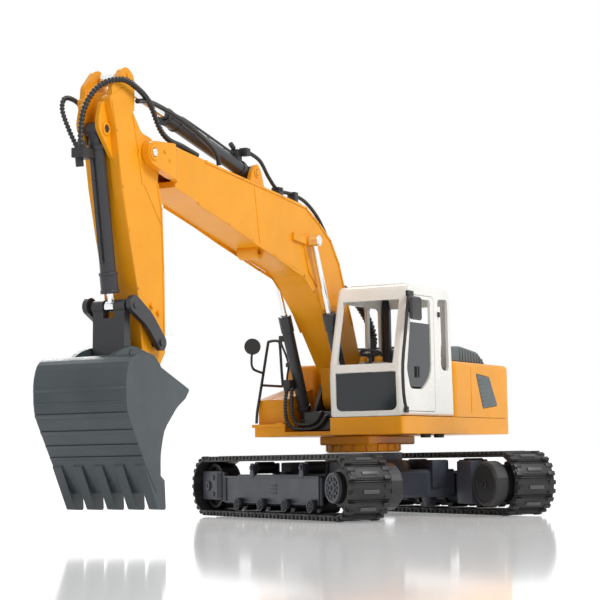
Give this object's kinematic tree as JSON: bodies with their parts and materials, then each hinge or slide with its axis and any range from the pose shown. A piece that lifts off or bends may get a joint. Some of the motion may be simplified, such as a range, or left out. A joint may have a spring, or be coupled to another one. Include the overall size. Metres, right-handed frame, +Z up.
{
  "type": "radio controlled excavator",
  "caption": "Toy crawler excavator with a slewing cab, a bent boom, a stick and a bucket moved by sliding rams, on rubber tracks.",
  "frame": {"origin": "middle of the machine's box at the ground, under the rest pose", "axes": "+X forward along the boom, +Y to the machine's left, +Z up; the undercarriage stands turned 55.66 degrees about Z"},
  "size_m": [0.4528, 0.2832, 0.2617],
  "materials": {
    "orange_plastic": "semi-gloss",
    "white_plastic": "semi-gloss",
    "grey_plastic": "satin",
    "black_plastic": "satin",
    "track_rubber": "matt",
    "frame_plastic": "satin",
    "dark_metal": "satin",
    "ballast_iron": "rough cast",
    "ram_grey": "satin",
    "bucket_paint": "satin",
    "chrome": "polished",
    "dark_glass": "glossy"
  },
  "bodies": {
    "undercarriage": {"carbody": "frame_plastic", "track_frame_left": "frame_plastic", "track_frame_right": "frame_plastic", "track_belt_left": "track_rubber", "track_belt_right": "track_rubber", "final_drive_left": "black_plastic", "final_drive_right": "black_plastic"},
    "sprocket_left": {"sprocket_left": "black_plastic"},
    "idler_left": {"idler_left": "black_plastic"},
    "track_roller_left_1": {"track_roller_left_1": "black_plastic"},
    "track_roller_left_2": {"track_roller_left_2": "black_plastic"},
    "track_roller_left_3": {"track_roller_left_3": "black_plastic"},
    "track_roller_left_4": {"track_roller_left_4": "black_plastic"},
    "carrier_roller_left_1": {"carrier_roller_left_1": "black_plastic"},
    "carrier_roller_left_2": {"carrier_roller_left_2": "black_plastic"},
    "sprocket_right": {"sprocket_right": "black_plastic"},
    "idler_right": {"idler_right": "black_plastic"},
    "track_roller_right_1": {"track_roller_right_1": "black_plastic"},
    "track_roller_right_2": {"track_roller_right_2": "black_plastic"},
    "track_roller_right_3": {"track_roller_right_3": "black_plastic"},
    "track_roller_right_4": {"track_roller_right_4": "black_plastic"},
    "carrier_roller_right_1": {"carrier_roller_right_1": "black_plastic"},
    "carrier_roller_right_2": {"carrier_roller_right_2": "black_plastic"},
    "upper_structure": {"slew_turntable": "orange_plastic", "upper_frame": "orange_plastic", "boom_mount": "black_plastic", "rear_housing": "orange_plastic", "engine_hood": "grey_plastic", "air_grille": "grey_plastic", "toolbox": "orange_plastic", "handrail": "black_plastic", "cab_shell": "white_plastic", "cab_door": "white_plastic", "door_window": "dark_glass", "front_glass": "dark_glass", "operator_seat": "black_plastic", "control_consoles": "grey_plastic", "grab_rail": "black_plastic", "ballast_weight": "ballast_iron", "battery_pack": "black_plastic", "boom_root_hose": "track_rubber", "boom_cylinder_hose": "track_rubber"},
    "boom": {"boom": "orange_plastic", "stick_pin": "chrome", "boom_hose": "track_rubber", "stick_hose": "track_rubber"},
    "boom_cylinder_left_barrel": {"boom_cylinder_left_barrel": "ram_grey"},
    "boom_cylinder_left_rod": {"boom_cylinder_left_rod": "chrome"},
    "boom_cylinder_right_barrel": {"boom_cylinder_right_barrel": "ram_grey"},
    "boom_cylinder_right_rod": {"boom_cylinder_right_rod": "chrome"},
    "stick_cylinder_barrel": {"stick_cylinder_barrel": "ram_grey"},
    "stick_cylinder_rod": {"stick_cylinder_rod": "chrome"},
    "stick": {"stick": "orange_plastic"},
    "bucket_cylinder_barrel": {"bucket_cylinder_barrel": "ram_grey"},
    "bucket_cylinder_rod": {"bucket_cylinder_rod": "chrome"},
    "rockers": {"rocker_left": "dark_metal", "rocker_right": "dark_metal"},
    "bucket_link": {"bucket_link": "dark_metal"},
    "bucket": {"bucket": "bucket_paint", "bucket_pin": "chrome"}
  },
  "joints": [
    {"name": "slew", "type": "hinge", "parent": "undercarriage", "child": "upper_structure", "pos_m": [-0.09552, 0, 0.049], "axis": [0, 0, 1], "continuous": true},
    {"name": "boom_lift", "type": "hinge", "parent": "upper_structure", "child": "boom", "pos_m": [-0.09052, -0.014, 0.083], "axis": [0, -1, 0], "range_deg": [-30, 10], "deforming": ["boom_root_hose", "boom_cylinder_hose"]},
    {"name": "boom_cylinder_left_swing", "type": "hinge", "parent": "upper_structure", "child": "boom_cylinder_left_barrel", "pos_m": [-0.07102, 0.0029, 0.066], "axis": [0, -1, 0], "range_deg": [-29.18, 9.76]},
    {"name": "boom_cylinder_left_stroke", "type": "slide", "parent": "boom_cylinder_left_barrel", "child": "boom_cylinder_left_rod", "axis": [0.3946, 0, 0.9189], "range_m": [-0.01323, 0.00444]},
    {"name": "boom_cylinder_right_swing", "type": "hinge", "parent": "upper_structure", "child": "boom_cylinder_right_barrel", "pos_m": [-0.07102, -0.0309, 0.066], "axis": [0, -1, 0], "range_deg": [-29.18, 9.76]},
    {"name": "boom_cylinder_right_stroke", "type": "slide", "parent": "boom_cylinder_right_barrel", "child": "boom_cylinder_right_rod", "axis": [0.3946, 0, 0.9189], "range_m": [-0.01323, 0.00444]},
    {"name": "stick_swing", "type": "hinge", "parent": "boom", "child": "stick", "pos_m": [0.17398, -0.014, 0.2154], "axis": [0, -1, 0], "range_deg": [-25, 30], "deforming": ["stick_hose"]},
    {"name": "stick_cylinder_swing", "type": "hinge", "parent": "boom", "child": "stick_cylinder_barrel", "pos_m": [0.03848, -0.014, 0.2226], "axis": [0, -1, 0], "range_deg": [-3.96, 4.75]},
    {"name": "stick_cylinder_stroke", "type": "slide", "parent": "stick_cylinder_barrel", "child": "stick_cylinder_rod", "axis": [0.9766, 0, 0.2151], "range_m": [-0.0192, 0.01601]},
    {"name": "bucket_curl", "type": "hinge", "parent": "stick", "child": "bucket", "pos_m": [0.17248, -0.014, 0.0915], "axis": [0, 1, 0], "range_deg": [-4, 65]},
    {"name": "rocker_swing", "type": "hinge", "parent": "stick", "child": "rockers", "pos_m": [0.16798, -0.014, 0.107], "axis": [0, 1, 0], "range_deg": [-3.11, 49.71]},
    {"name": "bucket_link_swing", "type": "hinge", "parent": "rockers", "child": "bucket_link", "pos_m": [0.19448, -0.014, 0.1266], "axis": [0, 1, 0], "range_deg": [-24.68, 1.57]},
    {"name": "bucket_cylinder_swing", "type": "hinge", "parent": "stick", "child": "bucket_cylinder_barrel", "pos_m": [0.20898, -0.014, 0.2245], "axis": [0, 1, 0], "range_deg": [-5.49, 0.38]},
    {"name": "bucket_cylinder_stroke", "type": "slide", "parent": "bucket_cylinder_barrel", "child": "bucket_cylinder_rod", "axis": [-0.1465, 0, -0.9892], "range_m": [-0.00162, 0.02558]},
    {"name": "track_drive_left", "type": "hinge", "parent": "undercarriage", "child": "sprocket_left", "pos_m": [0.01068, 0.04528, 0.0213], "axis": [0.8257, -0.5641, 0], "continuous": true},
    {"name": "idler_left_spin", "type": "hinge", "parent": "undercarriage", "child": "idler_left", "pos_m": [-0.09909, -0.1154, 0.0213], "axis": [0.8257, -0.5641, 0], "continuous": true},
    {"name": "track_roller_left_1_spin", "type": "hinge", "parent": "undercarriage", "child": "track_roller_left_1", "pos_m": [-0.07162, -0.07519, 0.009], "axis": [0.8257, -0.5641, 0], "continuous": true},
    {"name": "track_roller_left_2_spin", "type": "hinge", "parent": "undercarriage", "child": "track_roller_left_2", "pos_m": [-0.0512, -0.0453, 0.009], "axis": [0.8257, -0.5641, 0], "continuous": true},
    {"name": "track_roller_left_3_spin", "type": "hinge", "parent": "undercarriage", "child": "track_roller_left_3", "pos_m": [-0.03078, -0.01541, 0.009], "axis": [0.8257, -0.5641, 0], "continuous": true},
    {"name": "track_roller_left_4_spin", "type": "hinge", "parent": "undercarriage", "child": "track_roller_left_4", "pos_m": [-0.01036, 0.01448, 0.009], "axis": [0.8257, -0.5641, 0], "continuous": true},
    {"name": "carrier_roller_left_1_spin", "type": "hinge", "parent": "undercarriage", "child": "carrier_roller_left_1", "pos_m": [-0.06084, -0.05942, 0.034], "axis": [0.8257, -0.5641, 0], "continuous": true},
    {"name": "carrier_roller_left_2_spin", "type": "hinge", "parent": "undercarriage", "child": "carrier_roller_left_2", "pos_m": [-0.0195, 0.00111, 0.034], "axis": [0.8257, -0.5641, 0], "continuous": true},
    {"name": "track_drive_right", "type": "hinge", "parent": "undercarriage", "child": "sprocket_right", "pos_m": [-0.09195, 0.1154, 0.0213], "axis": [0.8257, -0.5641, 0], "continuous": true},
    {"name": "idler_right_spin", "type": "hinge", "parent": "undercarriage", "child": "idler_right", "pos_m": [-0.20173, -0.04528, 0.0213], "axis": [0.8257, -0.5641, 0], "continuous": true},
    {"name": "track_roller_right_1_spin", "type": "hinge", "parent": "undercarriage", "child": "track_roller_right_1", "pos_m": [-0.17425, -0.00507, 0.009], "axis": [0.8257, -0.5641, 0], "continuous": true},
    {"name": "track_roller_right_2_spin", "type": "hinge", "parent": "undercarriage", "child": "track_roller_right_2", "pos_m": [-0.15383, 0.02482, 0.009], "axis": [0.8257, -0.5641, 0], "continuous": true},
    {"name": "track_roller_right_3_spin", "type": "hinge", "parent": "undercarriage", "child": "track_roller_right_3", "pos_m": [-0.13341, 0.05471, 0.009], "axis": [0.8257, -0.5641, 0], "continuous": true},
    {"name": "track_roller_right_4_spin", "type": "hinge", "parent": "undercarriage", "child": "track_roller_right_4", "pos_m": [-0.11299, 0.0846, 0.009], "axis": [0.8257, -0.5641, 0], "continuous": true},
    {"name": "carrier_roller_right_1_spin", "type": "hinge", "parent": "undercarriage", "child": "carrier_roller_right_1", "pos_m": [-0.16348, 0.0107, 0.034], "axis": [0.8257, -0.5641, 0], "continuous": true},
    {"name": "carrier_roller_right_2_spin", "type": "hinge", "parent": "undercarriage", "child": "carrier_roller_right_2", "pos_m": [-0.12213, 0.07122, 0.034], "axis": [0.8257, -0.5641, 0], "continuous": true}
  ],
  "couplings": [
    {"joint": "boom_cylinder_left_swing", "follows": "boom_lift", "ratio": 0.9709},
    {"joint": "boom_cylinder_left_stroke", "follows": "boom_lift", "m_per_rad": 0.025168},
    {"joint": "boom_cylinder_right_swing", "follows": "boom_lift", "ratio": 0.9709},
    {"joint": "boom_cylinder_right_stroke", "follows": "boom_lift", "m_per_rad": 0.025168},
    {"joint": "stick_cylinder_swing", "follows": "stick_swing", "ratio": 0.1565},
    {"joint": "stick_cylinder_stroke", "follows": "stick_swing", "m_per_rad": -0.036579},
    {"joint": "rocker_swing", "follows": "bucket_curl", "ratio": 0.764},
    {"joint": "bucket_link_swing", "follows": "bucket_curl", "ratio": -0.379},
    {"joint": "bucket_cylinder_swing", "follows": "bucket_curl", "ratio": -0.0837},
    {"joint": "bucket_cylinder_stroke", "follows": "bucket_curl", "m_per_rad": 0.0225},
    {"joint": "idler_left_spin", "follows": "track_drive_left", "ratio": 1},
    {"joint": "track_roller_left_1_spin", "follows": "track_drive_left", "ratio": 3.8222},
    {"joint": "track_roller_left_2_spin", "follows": "track_drive_left", "ratio": 3.8222},
    {"joint": "track_roller_left_3_spin", "follows": "track_drive_left", "ratio": 3.8222},
    {"joint": "track_roller_left_4_spin", "follows": "track_drive_left", "ratio": 3.8222},
    {"joint": "carrier_roller_left_1_spin", "follows": "track_drive_left", "ratio": 4.0952},
    {"joint": "carrier_roller_left_2_spin", "follows": "track_drive_left", "ratio": 4.0952},
    {"joint": "idler_right_spin", "follows": "track_drive_right", "ratio": 1},
    {"joint": "track_roller_right_1_spin", "follows": "track_drive_right", "ratio": 3.8222},
    {"joint": "track_roller_right_2_spin", "follows": "track_drive_right", "ratio": 3.8222},
    {"joint": "track_roller_right_3_spin", "follows": "track_drive_right", "ratio": 3.8222},
    {"joint": "track_roller_right_4_spin", "follows": "track_drive_right", "ratio": 3.8222},
    {"joint": "carrier_roller_right_1_spin", "follows": "track_drive_right", "ratio": 4.0952},
    {"joint": "carrier_roller_right_2_spin", "follows": "track_drive_right", "ratio": 4.0952}
  ]
}
